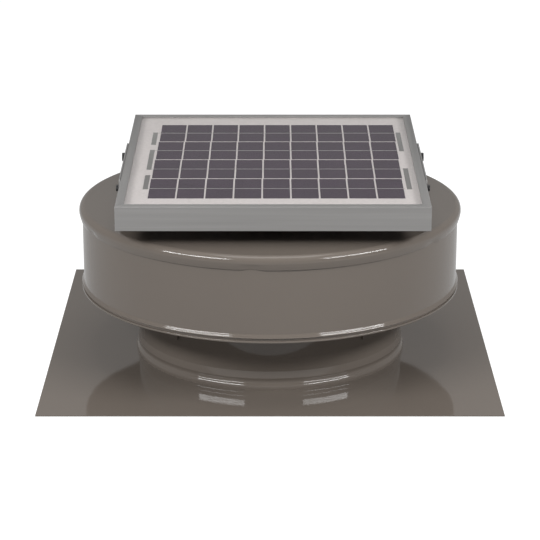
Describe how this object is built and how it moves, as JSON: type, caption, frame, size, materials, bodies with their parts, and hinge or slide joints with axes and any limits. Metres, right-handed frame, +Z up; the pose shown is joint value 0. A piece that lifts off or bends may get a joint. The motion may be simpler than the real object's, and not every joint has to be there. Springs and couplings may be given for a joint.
{
  "type": "solar roof fan",
  "caption": "Round-cap roof ventilator on a square flashing, with a fan in its neck driven by a framed solar panel bolted above the cap.",
  "frame": {"origin": "middle of the flashing's underside; the vent's axis stands 20 mm in front of it", "axes": "+Z up along the vent's axis, -Y towards the front shown in the picture, X across the panel"},
  "size_m": [0.4572, 0.4572, 0.2087],
  "materials": {
    "brown_enamel": "glossy warm grey-brown enamel",
    "zinc_steel": "zinc plated",
    "black_steel": "black oxide",
    "motor_paint": "satin black",
    "anodised_frame": "satin anodised",
    "mill_aluminium": "mill finish",
    "bronze": "sintered bronze",
    "solar_glass": "low-iron tempered glass",
    "silicon": "dark purple-grey wafers",
    "ribbon": "tinned copper",
    "backsheet": "white film",
    "black_plastic": "moulded",
    "black_rubber": "moulded"
  },
  "bodies": {
    "housing": {"base_flashing": "brown_enamel", "bird_screen": "mill_aluminium", "bracket_rivets": "zinc_steel", "bridge_rivets": "zinc_steel", "cable_grommet": "black_rubber", "cap_band": "brown_enamel", "cap_lid": "brown_enamel", "cap_support_1": "brown_enamel", "cap_support_2": "brown_enamel", "cap_support_3": "brown_enamel", "cap_support_4": "brown_enamel", "motor_bracket": "zinc_steel", "motor_bushing": "bronze", "motor_end_cap": "motor_paint", "motor_housing": "motor_paint", "motor_screws": "zinc_steel", "neck_collar": "brown_enamel", "panel_bracket_left": "anodised_frame", "panel_bracket_right": "anodised_frame", "support_rivets": "zinc_steel"},
    "fan": {"motor_shaft": "zinc_steel", "fan_impeller": "mill_aluminium", "fan_washer": "zinc_steel", "fan_nut": "zinc_steel"},
    "panel": {"frame_rail_front": "anodised_frame", "frame_rail_right": "anodised_frame", "frame_rail_rear": "anodised_frame", "frame_rail_left": "anodised_frame", "frame_corner_keys": "anodised_frame", "panel_glass": "solar_glass", "solar_cells": "silicon", "string_ribbons": "ribbon", "bus_ribbons": "ribbon", "panel_backsheet": "backsheet", "junction_box": "black_plastic", "junction_box_lid": "black_plastic", "cable_gland": "black_plastic", "pivot_bolts": "black_steel", "lock_bolts": "black_steel", "bolt_washers": "black_steel", "bolt_nuts": "zinc_steel"}
  },
  "joints": [
    {"name": "fan_spin", "type": "hinge", "parent": "housing", "child": "fan", "pos_m": [0, -0.02, 0.055], "axis": [0, 0, 1], "continuous": true},
    {"name": "panel_tilt", "type": "hinge", "parent": "housing", "child": "panel", "pos_m": [0.003, -0.08709, 0.19071], "axis": [1, 0, 0], "range_deg": [-4, 3]}
  ]
}
